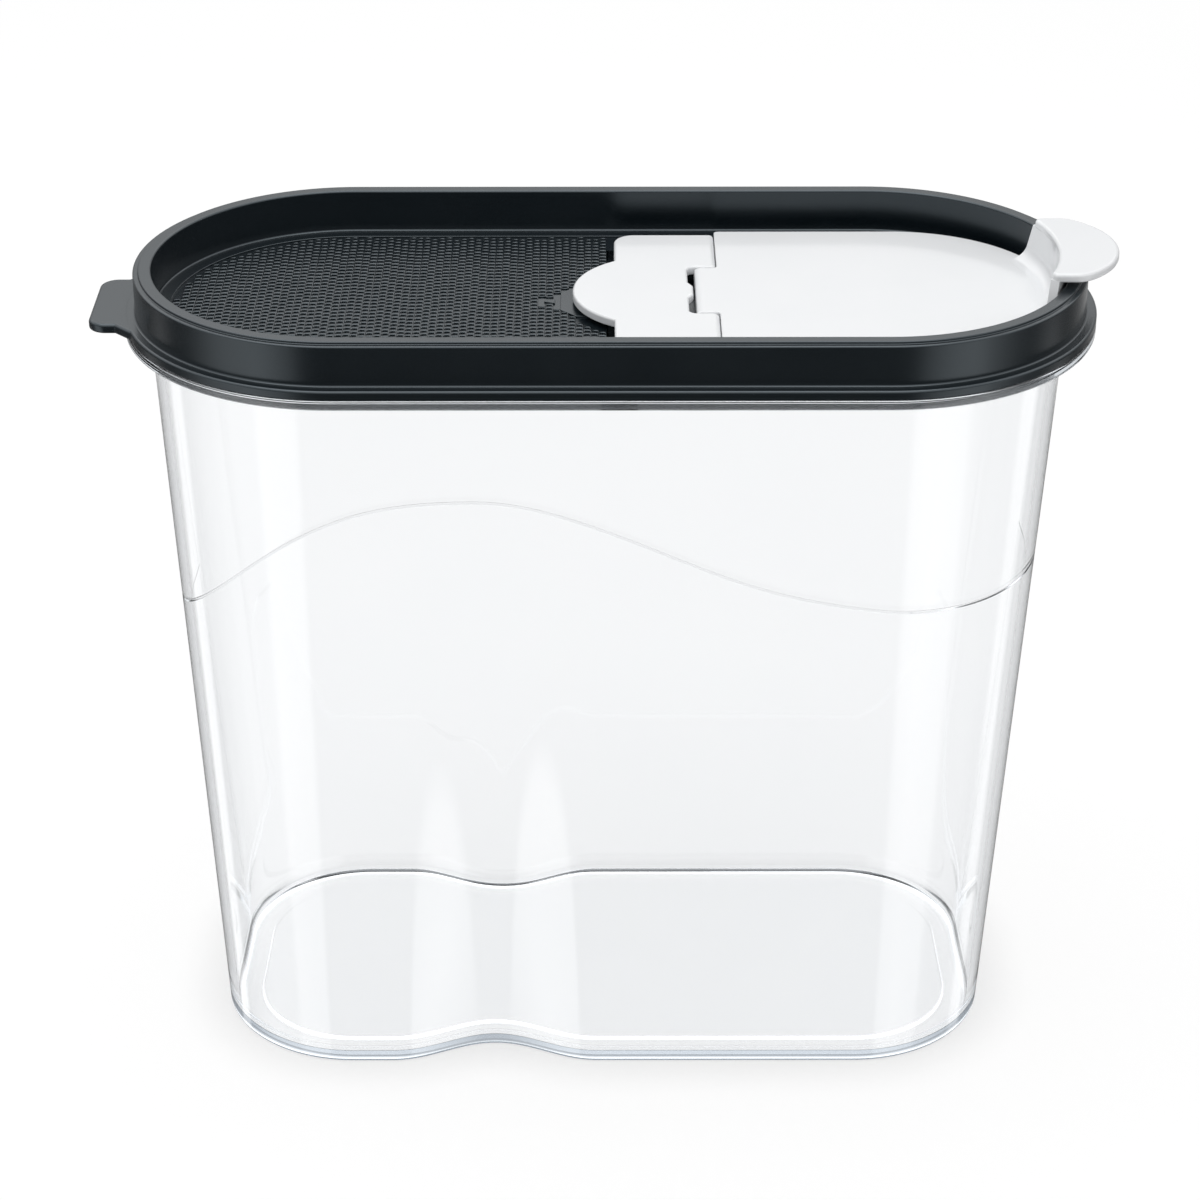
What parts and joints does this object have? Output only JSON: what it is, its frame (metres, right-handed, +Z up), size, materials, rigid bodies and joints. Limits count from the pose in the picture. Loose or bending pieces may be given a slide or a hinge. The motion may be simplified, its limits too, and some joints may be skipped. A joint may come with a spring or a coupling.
{
  "type": "pantry container",
  "caption": "Clear tapered storage tub with a grip waist, a dark snap lid with a sunken tray, and a white pour flap that hinges on a plug-in bridge.",
  "frame": {"origin": "middle of the flat base, on the surface that the container stands on", "axes": "+X along the container to the pour end, +Y from the front wall with the wave line to the back, +Z up"},
  "size_m": [0.2277, 0.0982, 0.1905],
  "materials": {
    "clear_plastic": "clear, polished",
    "dark_plastic": "satin, with a fine grained field in the tray",
    "white_plastic": "smooth gloss"
  },
  "bodies": {
    "container": {"container_body": "clear_plastic"},
    "lid": {"lid": "dark_plastic"},
    "bridge": {"hinge_bridge": "white_plastic"},
    "flap": {"pour_flap": "white_plastic"}
  },
  "joints": [
    {"name": "lid_lift", "type": "slide", "parent": "container", "child": "lid", "axis": [0, 0, 1], "range_m": [0, 0.05]},
    {"name": "bridge_unplug", "type": "slide", "parent": "lid", "child": "bridge", "axis": [0, 0, 1], "range_m": [0, 0.03]},
    {"name": "flap_hinge", "type": "hinge", "parent": "bridge", "child": "flap", "pos_m": [0.0229, 0, 0.178], "axis": [0, -1, 0], "range_deg": [0, 95]}
  ]
}
